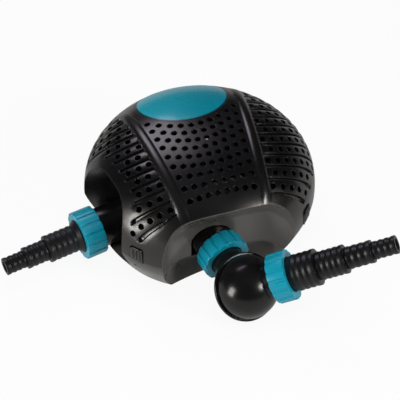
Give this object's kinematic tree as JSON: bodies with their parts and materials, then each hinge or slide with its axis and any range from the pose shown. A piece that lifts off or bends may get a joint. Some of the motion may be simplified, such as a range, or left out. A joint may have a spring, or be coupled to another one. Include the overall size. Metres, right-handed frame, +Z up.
{
  "type": "submersible fountain pump",
  "caption": "Submersible pond and fountain pump: a domed strainer cage over a wet-rotor pump, with a side inlet and a swivel elbow outlet on stepped hose tails.",
  "frame": {"origin": "middle of the flat underside of the base tray", "axes": "+Z up, -Y towards the outlet side, -X towards the inlet side"},
  "size_m": [0.4225, 0.3501, 0.151],
  "materials": {
    "cage_plastic": "satin black",
    "gloss_black": "gloss black",
    "teal_plastic": "semi-gloss teal",
    "plate_teal": "smooth teal, bare of lettering",
    "rubber": "matte black",
    "resin": "moulded dark grey",
    "steel": "plain steel",
    "copper": "enamelled copper wire",
    "ceramic": "polished off-white ceramic",
    "magnet": "dark ferrite"
  },
  "bodies": {
    "base": {"base_tray": "cage_plastic", "volute": "resin", "suction_cover": "gloss_black", "rotor_well": "resin", "motor_can": "resin", "motor_end_cap": "resin", "stator_core": "steel", "coil_front": "copper", "coil_rear": "copper", "shaft": "ceramic", "cable_gland": "rubber", "motor_foot_front": "rubber", "motor_foot_rear": "rubber", "chamber_gasket": "rubber", "cover_gasket": "rubber", "cover_screw_1": "steel", "cover_screw_2": "steel", "cover_screw_3": "steel", "cover_screw_4": "steel", "inlet_seal": "rubber", "outlet_seal": "rubber"},
    "cage": {"upper_cage": "cage_plastic", "nameplate": "plate_teal"},
    "latch_front_left": {"latch_front_left": "cage_plastic"},
    "latch_front_right": {"latch_front_right": "cage_plastic"},
    "latch_rear_left": {"latch_rear_left": "cage_plastic"},
    "latch_rear_right": {"latch_rear_right": "cage_plastic"},
    "rotor": {"rotor_magnet": "magnet", "impeller": "resin", "front_bush": "ceramic", "rear_bush": "ceramic"},
    "inlet_nut": {"inlet_nut": "teal_plastic"},
    "inlet_tail": {"inlet_tail": "gloss_black"},
    "outlet_nut": {"outlet_nut": "teal_plastic"},
    "elbow_rear": {"elbow_rear": "gloss_black", "swivel_seal": "rubber"},
    "elbow_front": {"elbow_front": "gloss_black", "tail_seal": "rubber"},
    "tail_nut": {"tail_nut": "teal_plastic"},
    "outlet_tail": {"outlet_tail": "gloss_black"}
  },
  "joints": [
    {"name": "cage_lift", "type": "slide", "parent": "base", "child": "cage", "axis": [0, 0, 1], "range_m": [0, 0.08]},
    {"name": "latch_front_left_press", "type": "hinge", "parent": "cage", "child": "latch_front_left", "pos_m": [-0.10108, -0.08633, 0.063], "axis": [-0.6494, 0.7604, 0], "range_deg": [0, 3.5], "stiffness_Nm_per_rad": 1},
    {"name": "latch_front_right_press", "type": "hinge", "parent": "cage", "child": "latch_front_right", "pos_m": [0.10108, -0.08633, 0.063], "axis": [-0.6494, -0.7604, 0], "range_deg": [0, 3.5], "stiffness_Nm_per_rad": 1},
    {"name": "latch_rear_left_press", "type": "hinge", "parent": "cage", "child": "latch_rear_left", "pos_m": [-0.10108, 0.08633, 0.063], "axis": [0.6494, 0.7604, 0], "range_deg": [0, 3.5], "stiffness_Nm_per_rad": 1},
    {"name": "latch_rear_right_press", "type": "hinge", "parent": "cage", "child": "latch_rear_right", "pos_m": [0.10108, 0.08633, 0.063], "axis": [0.6494, -0.7604, 0], "range_deg": [0, 3.5], "stiffness_Nm_per_rad": 1},
    {"name": "rotor_spin", "type": "hinge", "parent": "base", "child": "rotor", "pos_m": [-0.00301, 0.01418, 0.04], "axis": [0.9781, 0.2079, 0], "continuous": true},
    {"name": "inlet_nut_turn", "type": "hinge", "parent": "base", "child": "inlet_nut", "pos_m": [-0.00301, 0.01418, 0.04], "axis": [-0.9781, -0.2079, 0], "continuous": true},
    {"name": "inlet_tail_turn", "type": "hinge", "parent": "base", "child": "inlet_tail", "pos_m": [-0.00301, 0.01418, 0.04], "axis": [-0.9781, -0.2079, 0], "continuous": true},
    {"name": "outlet_nut_turn", "type": "hinge", "parent": "base", "child": "outlet_nut", "pos_m": [-0.02152, -0.00457, 0.04], "axis": [0.2079, -0.9781, 0], "continuous": true},
    {"name": "elbow_turn", "type": "hinge", "parent": "base", "child": "elbow_rear", "pos_m": [-0.02152, -0.00457, 0.04], "axis": [0.2079, -0.9781, 0], "continuous": true},
    {"name": "elbow_swivel", "type": "hinge", "parent": "elbow_rear", "child": "elbow_front", "pos_m": [0.00967, -0.1513, 0.04], "axis": [0.2253, -0.675, 0.7026], "continuous": true},
    {"name": "tail_nut_turn", "type": "hinge", "parent": "elbow_front", "child": "tail_nut", "pos_m": [0.00967, -0.1513, 0.04], "axis": [0.8415, -0.2967, 0.4516], "continuous": true},
    {"name": "outlet_tail_turn", "type": "hinge", "parent": "elbow_front", "child": "outlet_tail", "pos_m": [0.00967, -0.1513, 0.04], "axis": [0.8415, -0.2967, 0.4516], "continuous": true}
  ]
}
